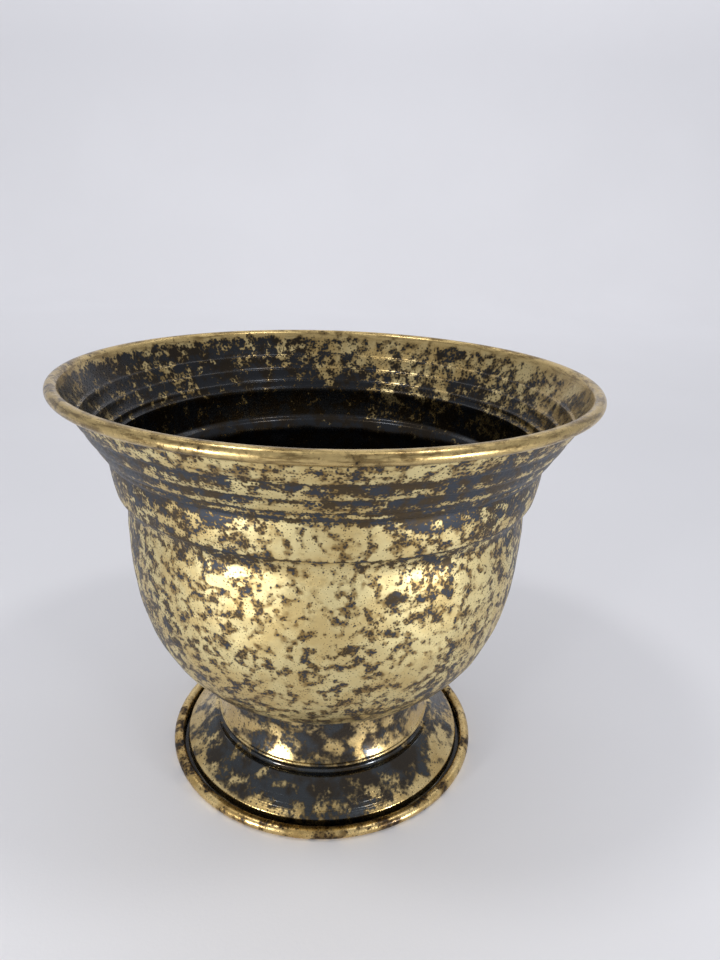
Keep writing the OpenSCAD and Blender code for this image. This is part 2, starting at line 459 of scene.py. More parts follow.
@dataclass(frozen=True)
class PatinaBrass:
    """Brass under a mottled patina that is worn through.

    The stops of cover and streaky say by height how much of the brass the patina covers, and
    how much it is drawn out into level streaks. There is patina where the sum of clouds, grit
    and cover is over the level. The bands are where core, film and specks start and are whole.
    """

    name: str
    cover: Stops
    streaky: Stops = ((0.0, 0.0), (170.0, 0.0))
    worn_from: float = 1000.0
    wear: float = 0.34
    # A ring-shaped hollow where a near-black line of painted shade goes.
    crease: Crease | None = None
    # Extra patina towards the left and right as seen from the camera: where positive, partly real
    # patina and partly painted shade; where negative, painted light for the bright room reflected
    # there.
    sides: float = 0.0
    # Patina that changes across X: negative leaves the right, as seen from the camera, barer; partly
    # real wear, partly painted light where the left lamp falls.
    lean: float = 0.0
    bare: Colour = paint(198, 173, 118)
    pale: Colour = paint(214, 199, 148)
    golden: Colour = paint(200, 178, 123)
    film: Colour = paint(128, 100, 54)
    slate: Colour = paint(54, 59, 67)
    umber: Colour = paint(68, 56, 38)
    # Colour of the painted shade in the crease.
    crease_shade: Colour = paint(20, 16, 11)
    blotch: float = 3.6
    drifting: float = 0.7
    stretch: float = 5.0
    grit: float = 0.9
    grittiness: float = 0.17
    level: float = 0.535
    edge: float = 0.028
    pull: float = 0.42
    core_band: Band = (0.545, 0.59)
    film_band: Band = (0.46, 0.6)
    speck_band: Band = (0.72, 0.82)
    speck_pull: float = 0.6
    speck_share: float = 0.85
    veil: float = 0.85
    worn_gloss: float = 0.46
    patina_gloss: float = 0.46
    patina_metal: float = 0.85
    coat: float = 0.1
    coat_gloss: float = 0.15
    lines: float = 0.01
    pitting: float = 0.012
    turn: float = 0.0

    def material(self) -> bpy.types.Material:
        """Builds the finish.

        Returns:
            The material.
        """
        graph = FinishGraph(self.name)
        handled = graph.ease(graph.radius(graph.place()), self.worn_from - 0.7, self.worn_from + 0.7)
        cover, grit = self.covered(graph, handled), self.grains(graph)
        mixed = graph.between(self.grittiness, self.clouds(graph, 5.0), grit)
        growth = graph.number("MULTIPLY_ADD", cover, self.pull, mixed)
        soft = graph.number("MULTIPLY_ADD", cover, self.pull, self.clouds(graph, 1.2))
        blotches = graph.ease(growth, self.level - self.edge, self.level + self.edge)
        specks = graph.number("MULTIPLY_ADD", cover, self.speck_pull, grit)
        specks = graph.ease(specks, *self.speck_band, self.speck_share)
        free = graph.number("SUBTRACT", 1.0, handled)
        dark = graph.number("MAXIMUM", blotches, graph.number("MULTIPLY", specks, free))
        film = graph.number("MULTIPLY", graph.ease(soft, *self.film_band), self.veil)
        stained = graph.blend(film, self.metal(graph, handled), self.film)
        colour = graph.blend(dark, stained, self.patina(graph, growth))
        # Painted shade in the crease, which also takes the patina's gloss and metal.
        if self.crease:
            crease_shading = self.crease.mask(graph)
            colour = graph.blend(crease_shading, colour, self.crease_shade)
            dark = graph.number("MAXIMUM", dark, crease_shading)
        turned = graph.noise(graph.place((0.05, 0.05, 1.0)), 0.55, 2.0, 0.5, self.turn + 6)
        gloss = graph.between(dark, self.worn_gloss, self.patina_gloss)
        gloss = graph.number("MULTIPLY_ADD", graph.number("SUBTRACT", grit, 0.5), 0.25, gloss)
        normal = graph.relief(turned, self.lines)
        normal = graph.relief(grit, self.pitting, normal)
        normal = graph.relief(dark, self.pitting, normal)
        return graph.surface(
            Base_Color=colour,
            Metallic=graph.between(dark, 1.0, self.patina_metal),
            Roughness=gloss,
            Normal=normal,
            Coat_Weight=self.coat,
            Coat_Roughness=self.coat_gloss,
        )

    def covered(self, graph: FinishGraph, handled: Socket) -> Socket:
        """How much of the brass the patina covers, with painted light and shade towards the left and
        right as seen from the camera.

        Args:
            graph: The finish's node tree.
            handled: Mask of the part that hands rub bare.

        Returns:
            A number near nought, higher where there is more patina.
        """
        cover = graph.number("SUBTRACT", graph.by_height(self.cover), 0.5)
        drift = graph.noise(graph.place(), 9 * self.blotch, 3.0, 0.5, self.turn)
        across = graph.part(graph.place(), "X")
        for term, share in (
            (graph.number("SUBTRACT", drift, 0.5), self.drifting),
            # Across X: partly painted light on the side that the left lamp lights.
            (across, self.lean / 100),
            # Left and right as seen from the camera: painted shade where positive, painted light where
            # negative.
            (graph.ease(graph.number("ABSOLUTE", across), 15.0, 75.0), self.sides),
            (handled, -self.wear),
        ):
            cover = graph.number("MULTIPLY_ADD", term, share, cover)
        return cover

    def metal(self, graph: FinishGraph, handled: Socket) -> Socket:
        """Colour of the worn brass, brownish in streaks where it is handled.

        Args:
            graph: The finish's node tree.
            handled: Mask of the part that hands rub bare.

        Returns:
            The colour.
        """
        tone = graph.noise(graph.place(), 13.0, 3.0, 0.6, self.turn + 3)
        metal = graph.blend(graph.ease(tone, 0.38, 0.62), self.pale, self.golden)
        rubbed = graph.noise(graph.place((0.12, 0.12, 1.0)), 1.5, 4.0, 0.7, self.turn + 7)
        brown = graph.ease(rubbed, 0.45, 0.62, 0.85)
        return graph.blend(handled, metal, graph.blend(brown, self.bare, self.film))

    def patina(self, graph: FinishGraph, growth: Socket) -> Socket:
        """Colour of the patina, brown at its edges and partly slate in its core.

        Args:
            graph: The finish's node tree.
            growth: The sum of clouds, grit and cover.

        Returns:
            The colour.
        """
        shade = graph.noise(graph.place(), 1.6 * self.blotch, 3.0, 0.6, self.turn + 4)
        core = graph.ease(growth, *self.core_band)
        cold = graph.number("MULTIPLY", core, graph.ease(shade, 0.42, 0.56))
        return graph.blend(cold, self.umber, self.slate)

    def clouds(self, graph: FinishGraph, detail: float) -> Socket:
        """Patches of patina, drawn out into level streaks where the finish asks for it.

        Args:
            graph: The finish's node tree.
            detail: How many finer layers the patches have.

        Returns:
            A value near one half, higher in a patch.
        """
        place = graph.warped(graph.place(), 5.0, 0.9)
        level = graph.warped(graph.place((1, 1, self.stretch)), 7.0, 1.6)
        patches = graph.noise(place, self.blotch, detail, 0.68, self.turn + 1)
        streaks = graph.noise(level, self.blotch * 2, detail, 0.66, self.turn + 2)
        return graph.between(graph.by_height(self.streaky), patches, streaks)

    def grains(self, graph: FinishGraph) -> Socket:
        """Fine grit.

        Args:
            graph: The finish's node tree.

        Returns:
            A value near one half, higher in a grain.
        """
        place = graph.warped(graph.place(), 1.6 * self.grit, 0.4 * self.grit)
        cells = graph.add("ShaderNodeTexVoronoi", {"Vector": place, "Scale": 1 / self.grit})
        return graph.number("SUBTRACT", 1.0, cells.outputs["Distance"])


@dataclass(frozen=True)
class BareMetal:
    """Bright or plated metal with fine turning lines."""

    name: str
    colour: Colour
    dull: Colour
    gloss: float = 0.3

    def material(self) -> bpy.types.Material:
        """Builds the finish.

        Returns:
            The material.
        """
        graph = FinishGraph(self.name)
        tarnish = graph.noise(graph.place(), 2.5, 5.0, 0.65)
        fine = graph.noise(graph.place((1, 1, 6)), 0.35, 3.0, 0.6)
        share = graph.ease(tarnish, 0.42, 0.66)
        gloss = graph.number("MULTIPLY_ADD", share, 0.2, self.gloss)
        return graph.surface(
            Base_Color=graph.blend(share, self.colour, self.dull),
            Metallic=1.0,
            Roughness=gloss,
            Normal=graph.relief(fine, 0.01),
        )


@dataclass(frozen=True)
class Rubber:
    """Black sealing rubber, a little dusty."""

    name: str = "black_rubber"
    colour: Colour = paint(34, 34, 35)
    dust: Colour = paint(74, 71, 66)

    def material(self) -> bpy.types.Material:
        """Builds the finish.

        Returns:
            The material.
        """
        graph = FinishGraph(self.name)
        dust = graph.noise(graph.place(), 3.0, 5.0, 0.6)
        grain = graph.noise(graph.place(), 0.3, 2.0, 0.6)
        return graph.surface(
            Base_Color=graph.blend(graph.ease(dust, 0.45, 0.8), self.colour, self.dust),
            Roughness=graph.number("MULTIPLY_ADD", dust, 0.2, 0.55),
            Normal=graph.relief(grain, 0.02),
        )


@dataclass(frozen=True)
class Paper:
    """Pale matt sweep of the studio."""

    name: str = "studio_sweep"
    colour: Colour = paint(228, 228, 232)
    shade: Colour = paint(226, 226, 230)

    def material(self) -> bpy.types.Material:
        """Builds the finish.

        Returns:
            The material.
        """
        graph = FinishGraph(self.name)
        cloud = graph.noise(graph.place(), 400.0, 3.0, 0.5)
        fibre = graph.noise(graph.place(), 1.2, 3.0, 0.6)
        return graph.surface(
            Base_Color=graph.blend(graph.ease(cloud, 0.35, 0.65), self.colour, self.shade),
            Roughness=0.85,
            Specular_IOR_Level=0.2,
            Normal=graph.relief(fibre, 0.04),
        )


# Shapes


class SpinningTree:
    """Geometry Nodes that spin an outline about the pot's axis and planish the result."""

    PATH_RADIUS = 0.05  # metres
    FADE = 6 * MM  # height over which the marks fade out
    WAVER_SCALE = 24.0  # waves of the waver in a metre
    MARK_SMOOTHNESS = 0.2
    MARK_RANDOMNESS = 0.85

    def __init__(self) -> None:
        """Builds the tree."""
        self.tree = bpy.data.node_groups.new("spun_sheet", "GeometryNodeTree")
        self.graph = Graph(self.tree)
        self.sockets: dict[str, str] = {}
        for name, kind in (
            ("Outline", "NodeSocketGeometry"),
            ("Steps round", "NodeSocketInt"),
            ("Mark width", "NodeSocketFloat"),
            ("Mark depth", "NodeSocketFloat"),
            ("Marks from", "NodeSocketFloat"),
            ("Marks to", "NodeSocketFloat"),
            ("Marks centre", "NodeSocketFloat"),
            ("Waver", "NodeSocketFloat"),
            ("Seed", "NodeSocketInt"),
            ("Outer finish", "NodeSocketMaterial"),
            ("Hollow finish", "NodeSocketMaterial"),
        ):
            made = self.tree.interface.new_socket(name=name, in_out="INPUT", socket_type=kind)
            self.sockets[name] = made.identifier
        self.tree.interface.new_socket(
            name="Geometry", in_out="OUTPUT", socket_type="NodeSocketGeometry"
        )
        self.group = self.graph.add("NodeGroupInput").outputs
        self.finished(self.planished(self.spun()))

    def spun(self) -> Socket:
        """Spins the outline about the axis."""
        graph, group = self.graph, self.group
        outline = graph.add("GeometryNodeMeshToCurve", {"Mesh": group["Outline"]}).outputs[0]
        moved = graph.add(
            "GeometryNodeTransform",
            {
                "Geometry": outline,
                "Translation": (-self.PATH_RADIUS, 0, 0),
                "Rotation": (math.pi / 2, 0, 0),
            },
        ).outputs[0]
        path = graph.add(
            "GeometryNodeCurvePrimitiveCircle",
            {"Resolution": group["Steps round"], "Radius": self.PATH_RADIUS},
            mode="RADIUS",
        ).outputs["Curve"]
        inputs = {"Curve": path, "Profile Curve": moved}
        return graph.add("GeometryNodeCurveToMesh", inputs).outputs[0]

    def planished(self, shell: Socket) -> Socket:
        """Pushes shallow hammer marks and a slow waver into both sides of the sheet.

        Args:
            shell: The spun sheet.

        Returns:
            The planished sheet.
        """
        graph, group = self.graph, self.group
        place = graph.add("GeometryNodeInputPosition").outputs[0]
        height = graph.add("ShaderNodeSeparateXYZ", {0: place}).outputs["Z"]
        inputs = {
            "Vector": place,
            "W": group["Seed"],
            "Scale": graph.number("DIVIDE", 1.0, group["Mark width"]),
            "Smoothness": self.MARK_SMOOTHNESS,
            "Randomness": self.MARK_RANDOMNESS,
        }
        settings = {"voronoi_dimensions": "4D", "feature": "SMOOTH_F1"}
        cells = graph.add("ShaderNodeTexVoronoi", inputs, **settings).outputs["Distance"]
        hollow = graph.number("SUBTRACT", 1.0, graph.number("MULTIPLY", cells, cells))
        marks = graph.number("MULTIPLY", hollow, group["Mark depth"])
        inputs = {"Vector": place, "W": group["Seed"], "Scale": self.WAVER_SCALE, "Detail": 2.0}
        slow = graph.add("ShaderNodeTexNoise", inputs, noise_dimensions="4D").outputs[0]
        push = graph.number("MULTIPLY_ADD", slow, group["Waver"], marks)
        within = [
            graph.ease(graph.number("DIVIDE", graph.number("SUBTRACT", *ends), self.FADE), 0.0, 1.0)
            for ends in ((height, group["Marks from"]), (group["Marks to"], height))
        ]
        share = graph.number("MULTIPLY", *within)
        centre = graph.add("ShaderNodeCombineXYZ", {"Z": group["Marks centre"]}).outputs[0]
        out = graph.vector("NORMALIZE", graph.vector("SUBTRACT", place, centre))
        amount = graph.number("MULTIPLY", graph.number("MULTIPLY", push, share), -1.0)
        inputs = {"Geometry": shell, "Offset": graph.scaled(out, amount)}
        return graph.add("GeometryNodeSetPosition", inputs).outputs[0]

    def finished(self, shell: Socket) -> None:
        """Shades the sheet smooth and gives each of its sides its finish.

        Args:
            shell: The planished sheet.
        """
        graph, group = self.graph, self.group
        smooth = graph.add("GeometryNodeSetShadeSmooth", {"Geometry": shell}).outputs[0]
        real = graph.add("GeometryNodeRealizeInstances", {"Geometry": smooth}).outputs[0]
        inputs = {"Geometry": real, "Material": group["Outer finish"]}
        outer = graph.add("GeometryNodeSetMaterial", inputs).outputs[0]
        side = graph.add("GeometryNodeInputNamedAttribute", {"Name": "hollow"}, data_type="FLOAT")
        inner = graph.add(
            "GeometryNodeSetMaterial",
            {
                "Geometry": outer,
                "Selection": graph.number("GREATER_THAN", side.outputs["Attribute"], 0.5),
                "Material": group["Hollow finish"],
            },
        ).outputs[0]
        graph.add("NodeGroupOutput", {0: inner})

    def spin(self, name: str, outline: bpy.types.Mesh, values: dict[str, object]) -> bpy.types.Object:
        """Spins an outline.

        Args:
            name: Name of the piece.
            outline: Mesh of the closed outline in the plane of X and Z.
            values: The tree's inputs, by name.

        Returns:
            The piece, as a plain mesh that is not yet on a body.
        """
        carrier = bpy.data.objects.new(name + "_outline", outline)
        bpy.context.scene.collection.objects.link(carrier)
        modifier = carrier.modifiers.new("spin", "NODES")
        modifier.node_group = self.tree
        for key, value in values.items():
            modifier[self.sockets[key]] = value
        bpy.context.view_layer.update()
        evaluated = carrier.evaluated_get(bpy.context.evaluated_depsgraph_get())
        mesh = bpy.data.meshes.new_from_object(evaluated)
        bpy.data.objects.remove(carrier)
        mesh.name = name
        point_outwards(mesh)
        piece = bpy.data.objects.new(name, mesh)
        bpy.context.scene.collection.objects.link(piece)
        return piece


def point_outwards(mesh: bpy.types.Mesh) -> None:
    """Turns a closed mesh's faces outwards if they point inwards.

    Args:
        mesh: The mesh.
    """
    form = bmesh.new()
    form.from_mesh(mesh)
    if form.calc_volume(signed=True) < 0:
        bmesh.ops.reverse_faces(form, faces=form.faces)
    form.to_mesh(mesh)
    form.free()


def mesh_object(name: str, form: bmesh.types.BMesh, finish: bpy.types.Material) -> bpy.types.Object:
    """Makes an object of a form.

    Args:
        name: Name of the piece.
        form: Its mesh, which is freed.
        finish: Its material.

    Returns:
        The object, shaded smooth.
    """
    mesh = bpy.data.meshes.new(name)
    form.to_mesh(mesh)
    form.free()
    mesh.polygons.foreach_set("use_smooth", [True] * len(mesh.polygons))
    mesh.materials.append(finish)
    piece = bpy.data.objects.new(name, mesh)
    bpy.context.scene.collection.objects.link(piece)
    return piece


def outline_mesh(name: str, shown: Line, hollow: Line) -> bpy.types.Mesh:
    """Closed outline of a sheet.

    Args:
        name: Name of the mesh.
        shown: Its outer side, from the bolt hole to the free edge.
        hollow: Its other side, the same way.

    Returns:
        A mesh of edges in the plane of X and Z, with the side of each point.
    """
    points = shown + hollow[::-1]
    sides = [Side.SHOWN.value] * len(shown) + [Side.HOLLOW.value] * len(hollow)
    mesh = bpy.data.meshes.new(name)
    places = [(p.x * MM, 0, p.y * MM) for p in points]
    mesh.from_pydata(places, [(i, (i + 1) % len(points)) for i in range(len(points))], [])
    mesh.attributes.new("hollow", "FLOAT", "POINT").data.foreach_set("value", sides)
    return mesh


def settle(piece: bpy.types.Object, slot: Slot, *nodes: str) -> None:
    """Puts a finished piece on the pot's body.

    Args:
        piece: The piece.
        slot: The record's slot of its finish; not used.
        nodes: The CAD nodes that it stands for.
    """
    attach(piece, BODY)
    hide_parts(*nodes)
    log.info("%s: %d faces", piece.name, len(piece.data.polygons))


# Sub-assemblies


@dataclass
class Sheet:
    """The brass sheet and the wire in its rolled edges."""

    thickness: float = 0.8
    wire_r: float = 1.4

    @property
    def edge_r(self) -> float:
        """Radius of a rolled edge."""
        return self.thickness + self.wire_r

    def wrap(self, centre: Vector, start: float, end: float, steps: int) -> Line:
        """Side of the sheet that lies on the wire of a rolled edge.

        Args:
            centre: Centre of the wire.
            start: Angle where the sheet meets the wire, in degrees.
            end: Angle where the sheet ends.
            steps: How many chords it has.

        Returns:
            Its points, with chords that touch the wire.
        """
        step = (end - start) / steps
        radius = self.wire_r / math.cos(math.radians(step / 2))
        return sweep(centre, radius, start + step / 2, end + step / 2, steps)


@dataclass
class Bowl:
    """Bowl with its shoulder band, three rings, flare and rolled rim."""

    sheet: Sheet
    hole_r: float = 3.2
    seat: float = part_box("bowl")[0][2] / MM
    top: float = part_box("bowl")[1][2] / MM
    rim_r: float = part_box("bowl")[1][0] / MM
    belly_r: float = 77.7
    belly_h: float = 69.0
    bottom_r: float = 28.0
    side_fullness: float = 2.58
    bottom_fullness: float = 2.28
    band_z: float = 123.5
    flare_z: float = 137.5
    waist_in: float = 0.5
    waist_drop: float = 6.0
    band_out: float = 2.5
    band_step: float = 1.9
    band_step_h: float = 1.2
    band_lean: float = 2.0
    shoulder_sag: float = 0.15
    band_sag: float = 0.35
    ring_sag: float = 0.25
    flare_sag: float = 0.3
    ring_step: float = 0.6
    ring_heights: tuple[float, ...] = (0.0, 3.1, 8.3, 14.2)
    flare_bulge: float = 0.5
    rim_lean: float = 20.0
    roll_end: float = -138.0
    steps_round: int = 264
    mark_width: float = 8.5
    mark_depth: float = 0.55
    waver: float = 0.35

    def wall(self, fine: float, roll_steps: int) -> Line:
        """Outer side of the sheet, from the bolt hole to the free edge in the rim.

        Args:
            fine: Spacing of the points on the belly.
            roll_steps: Chords in the rolled rim.

        Returns:
            The points, with sharp corners.
        """
        edge = self.sheet.edge_r
        belly_z = self.seat + self.belly_h
        waist = Vector((self.belly_r - self.waist_in, self.band_z - self.waist_drop))
        band = Vector((self.belly_r + self.band_out, self.band_z))
        under_band = band - Vector((self.band_step, self.band_step_h))
        flare = Vector((band.x + self.band_lean, self.flare_z))
        wire = Vector((self.rim_r - edge, self.top - edge))
        touch = wire + self.sheet.wire_r * along(HALF_TURN - self.rim_lean)
        ledges = [self.ledge(h, flare, touch) for h in self.ring_heights]
        line = [Vector((self.hole_r, self.seat)), *self.belly(belly_z)]
        line = refined(line, fine)
        line += refined(arc(line[-1], waist, self.shoulder_sag, 6), fine)
        line += refined(arc(waist, under_band, -self.band_sag, 6), fine)
        line += arc(band, flare, self.band_sag, 10)
        for low, high in zip(ledges, ledges[1:]):
            line += arc(low, high - Vector((self.ring_step, 0)), self.ring_sag, 5)
        line += arc(ledges[-1], touch, self.flare_sag, 10)
        line += self.sheet.wrap(wire, HALF_TURN - self.rim_lean, self.roll_end, roll_steps)
        return tidied(line)

    def belly(self, belly_z: float) -> Line:
        """Belly, from the edge of the flat bottom to its widest part.

        Args:
            belly_z: Height of its widest part.

        Returns:
            Its points.
        """
        steps = 72
        line = []
        for i in range(steps + 1):
            turn = math.pi / 2 * i / steps
            out = max(math.sin(turn), 0.0) ** (2 / self.side_fullness)
            down = max(math.cos(turn), 0.0) ** (2 / self.bottom_fullness)
            radius = self.bottom_r + (self.belly_r - self.bottom_r) * out
            line.append(Vector((radius, belly_z - self.belly_h * down)))
        return line

    def ledge(self, height: float, flare: Vector, touch: Vector) -> Vector:
        """Lower edge of a ring.

        Args:
            height: Its height above the shoulder band.
            flare: Foot of the flare.
            touch: Where the flare meets the wire of the rim.

        Returns:
            Its place.
        """
        share = height / (touch.y - flare.y)
        bulge = self.flare_bulge * math.sin(math.pi * share)
        radius = flare.x + (touch.x - flare.x) * share + bulge + self.ring_step
        return Vector((radius, flare.y + height))

    def build(self, tree: SpinningTree, outer: PatinaBrass, hollow: PatinaBrass) -> None:
        """Spins the bowl and puts it in its place.

        Args:
            tree: The tree that spins and planishes it.
            outer: Finish of its outside.
            hollow: Finish of its inside.
        """
        shown = softened(self.wall(2.0, 10), 0.3)
        inner = softened(moved_left(self.wall(3.2, 26), self.sheet.thickness), 0.45)
        values = {
            "Steps round": self.steps_round,
            "Mark width": self.mark_width * MM,
            "Mark depth": self.mark_depth * MM,
            "Marks from": (self.seat + 2) * MM,
            "Marks to": (self.band_z - 1) * MM,
            "Marks centre": (self.seat + self.belly_h) * MM,
            "Waver": self.waver * MM,
            "Seed": 4,
            "Outer finish": outer.material(),
            "Hollow finish": hollow.material(),
        }
        piece = tree.spin("planished_bowl", outline_mesh("bowl_outline", shown, inner), values)
        settle(piece, Slot.BOWL, "bowl")


@dataclass
class Foot:
    """Foot with its top plate, necked waist, lip, sloping skirt and rolled edge."""

    sheet: Sheet
    hole_r: float = 3.2
    top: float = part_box("foot")[1][2] / MM
    edge_out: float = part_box("foot")[1][0] / MM
    neck_r: float = 42.0
    neck_bend: float = 3.0
    neck_sag: float = 0.9
    lip: Vector = field(default_factory=lambda: Vector((45.55, 16.9)))
    lip_r: float = 0.75
    groove_bend: float = 1.2
    roll_top: float = 13.8
    roll: Vector = field(default_factory=lambda: Vector((47.4, 12.2)))
    roll_r: float = 1.6
    skirt_edge: float = 4.8
    skirt_sag: float = 0.4
    skirt_bend: float = 1.0
    groove_w: float = 1.8
    hem_bend: float = 0.5
    roll_start: float = -90.0
    roll_end: float = 165.0
    steps_round: int = 300
    line_pitch: float = 0.85
    line_depth: float = 0.05

    def upper(self, with_lip: bool, roll_steps: int) -> Line:
        """Upper side of the sheet, from the bolt hole to the free edge in the roll.

        Args:
            with_lip: Whether the half-round edge of the lip stands out of it.
            roll_steps: Chords in the rolled edge.

        Returns:
            The points, with sharp corners.
        """
        edge = Vector((self.edge_out - self.sheet.edge_r, self.sheet.edge_r))
        skirt_r = edge.x - self.sheet.edge_r - self.groove_w
        bend = Vector((skirt_r - self.skirt_bend, self.skirt_edge - self.skirt_bend))
        run = bend - self.roll
        slope = math.degrees(
            math.atan2(-run.y, run.x) + math.asin((self.roll_r - self.skirt_bend) / run.length)
        )
        sagging = math.degrees(2 * math.atan(2 * self.skirt_sag / run.length))
        corner = Vector((self.neck_r - self.neck_bend, self.top - self.neck_bend))
        line = [Vector((self.hole_r, self.top))]
        line += sweep(corner, self.neck_bend, 90, 0, 10)
        line += arc(line[-1], self.lip + Vector((0, self.lip_r)), self.neck_sag, 20)
        if with_lip:
            line += sweep(self.lip, self.lip_r, 90, -90, 12)
        groove = Vector((self.lip.x + self.groove_bend, self.roll_top + self.groove_bend))
        line += sweep(groove, self.groove_bend, 180, 270, 6)
        line += sweep(self.roll, self.roll_r, 90, 90 - slope - sagging, 6)
        skirt_end = bend + self.skirt_bend * along(90 - slope + sagging)
        skirt = arc(line[-1], skirt_end, self.skirt_sag, 12)
        line += grooved(skirt, self.line_pitch, self.line_depth, 1) if with_lip else skirt
        line += sweep(bend, self.skirt_bend, 90 - slope + sagging, 0, 6)
        hem = Vector((skirt_r + self.hem_bend, self.sheet.thickness + self.hem_bend))
        line += sweep(hem, self.hem_bend, 180, 270, 5)
        line += self.sheet.wrap(edge, self.roll_start, self.roll_end, roll_steps)
        return tidied(line)

    def build(self, tree: SpinningTree, outer: PatinaBrass, hollow: PatinaBrass) -> None:
        """Spins the foot and puts it in its place.

        Args:
            tree: The tree that spins it.
            outer: Finish of its outside.
            hollow: Finish of its underside.
        """
        shown = softened(self.upper(True, 10), 0.15)
        under = softened(moved_left(self.upper(False, 26), -self.sheet.thickness), 0.3)
        values = {
            "Steps round": self.steps_round,
            "Mark width": 14 * MM,
            "Mark depth": 0.0,
            "Marks from": 15 * MM,
            "Marks to": 34 * MM,
            "Marks centre": 25 * MM,
            "Waver": 0.3 * MM,
            "Seed": 9,
            "Outer finish": outer.material(),
            "Hollow finish": hollow.material(),
        }
        piece = tree.spin("spun_foot", outline_mesh("foot_outline", shown, under), values)
        settle(piece, Slot.FOOT, "foot")


@dataclass
class Fixing:
    """Slotted bolt with its thread; its washers and nut keep their own shapes."""

    bolt_r: float = 3.0
    head_r: float = 6.0
    head_h: float = 3.6
    head_round: float = 1.0
    slot_w: float = 1.6
    slot_depth: float = 1.5
    pitch: float = 1.0
    thread_depth: float = 0.5
    steps_round: int = 72

    def build(self, finish: BareMetal) -> None:
        """Makes the bolt and puts it in its place.

        Args:
            finish: Its finish.
        """
        low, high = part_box("centre_bolt")
        end, top = low[2] / MM, high[2] / MM
        piece = mesh_object("threaded_bolt", self.form(end, top), finish.material())
        self.cut_slot(piece, top)
        settle(piece, Slot.BOLT, "centre_bolt")

    def form(self, end: float, top: float) -> bmesh.types.BMesh:
        """Turned bolt with a thread, closed, without its slot.

        Args:
            end: Height of the end of the bolt.
            top: Height of the top of its head.

        Returns:
            The form.
        """
        form = bmesh.new()
        under_head = top - self.head_h
        rows = [end + self.pitch / 8 * i for i in range(int((under_head - 3 - end) * 8 / self.pitch))]
        turned = [Vector((self.bolt_r, rows[-1] + 0.3)), Vector((self.bolt_r, under_head))]
        turned += [Vector((self.head_r - 0.2, under_head)), Vector((self.head_r, under_head + 0.2))]
        crown = Vector((self.head_r - self.head_round, top - self.head_round))
        turned += sweep(crown, self.head_round, 0, 90, 8)
        rings = [[self.thread_point(z, i, end) for i in range(self.steps_round)] for z in rows]
        step = 2 * math.pi / self.steps_round
        rings += [
            [(p.x * math.cos(i * step), p.x * math.sin(i * step), p.y) for i in range(self.steps_round)]
            for p in turned
        ]
        made = [[form.verts.new([c * MM for c in place]) for place in ring] for ring in rings]
        for a, b in zip(made, made[1:]):
            for i in range(self.steps_round):
                j = (i + 1) % self.steps_round
                form.faces.new((a[i], a[j], b[j], b[i]))
        form.faces.new(made[0][::-1])
        form.faces.new(made[-1])
        return form

    def thread_point(self, height: float, step: int, end: float) -> tuple[float, float, float]:
        """Point of the thread.

        Args:
            height: Height of the point.
            step: Its step round the bolt.
            end: Height of the end of the bolt.

        Returns:
            Its place.
        """
        turn = step / self.steps_round
        phase = (height / self.pitch - turn) % 1
        flank = abs(2 * phase - 1)
        tip = max(0.0, 1 - (height - end) / 0.8) * 0.6
        radius = min(self.bolt_r - self.thread_depth * flank, self.bolt_r - tip)
        angle = 2 * math.pi * turn
        return radius * math.cos(angle), radius * math.sin(angle), height

    def cut_slot(self, piece: bpy.types.Object, top: float) -> None:
        """Cuts the screwdriver slot into the head.

        Args:
            piece: The bolt.
            top: Height of the top of its head.
        """
        form = bmesh.new()
        size = Vector((3 * self.head_r, self.slot_w, 2 * self.slot_depth)) * MM
        place = Matrix.Translation((0, 0, top * MM)) @ Matrix.Diagonal((*size, 1))
        bmesh.ops.create_cube(form, size=1, matrix=place)
        cutter = mesh_object("slot_cutter", form, piece.data.materials[0])
        cut = piece.modifiers.new("slot", "BOOLEAN")
        cut.object = cutter
        cut.operation = "DIFFERENCE"
        cut.solver = "EXACT"
        bevel = piece.modifiers.new("edges", "BEVEL")
        bevel.width = 0.1 * MM
        bevel.segments = 2
        bevel.limit_method = "ANGLE"
        bevel.angle_limit = math.radians(60)
        bpy.context.view_layer.update()
        evaluated = piece.evaluated_get(bpy.context.evaluated_depsgraph_get())
        mesh = bpy.data.meshes.new_from_object(evaluated)
        piece.modifiers.clear()
        piece.data = mesh
        bpy.data.objects.remove(cutter)


def dress_cad(name: str, finish: bpy.types.Material) -> None:
    """Gives a CAD node that is shown as it is its finish.

    Args:
        name: Name of the node.
        finish: Its material.
    """
    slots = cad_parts[name].material_slots
    for slot in slots:
        slot.material = finish
    log.info("%s: dressed in %s", name, finish.name)


# Studio


@dataclass(frozen=True)
class Lamp:
    """A soft lamp that faces a target. Sizes are in metres and angles in degrees.

    Its azimuth is 0 at the front of the pot and 90 on its right.
    """

    name: str
    azimuth: float
    elevation: float
    distance: float
    size: tuple[float, float]
    power: float
    target: tuple[float, float, float] = (0.0, 0.0, 0.08)
    spread: float = 180.0

    def hang(self) -> None:
        """Hangs the lamp."""
        turn, rise = math.radians(self.azimuth), math.radians(self.elevation)
        flat = math.cos(rise)
        out = Vector((math.sin(turn) * flat, -math.cos(turn) * flat, math.sin(rise)))
        data = bpy.data.lights.new(self.name, "AREA")
        data.shape = "RECTANGLE"
        data.size, data.size_y = self.size
        data.energy = self.power
        data.spread = math.radians(self.spread)
        lamp = bpy.data.objects.new(self.name, data)
        place = Matrix.Translation(Vector(self.target) + out * self.distance)
        lamp.matrix_world = place @ out.to_track_quat("Z", "Y").to_matrix().to_4x4()
        bpy.context.scene.collection.objects.link(lamp)


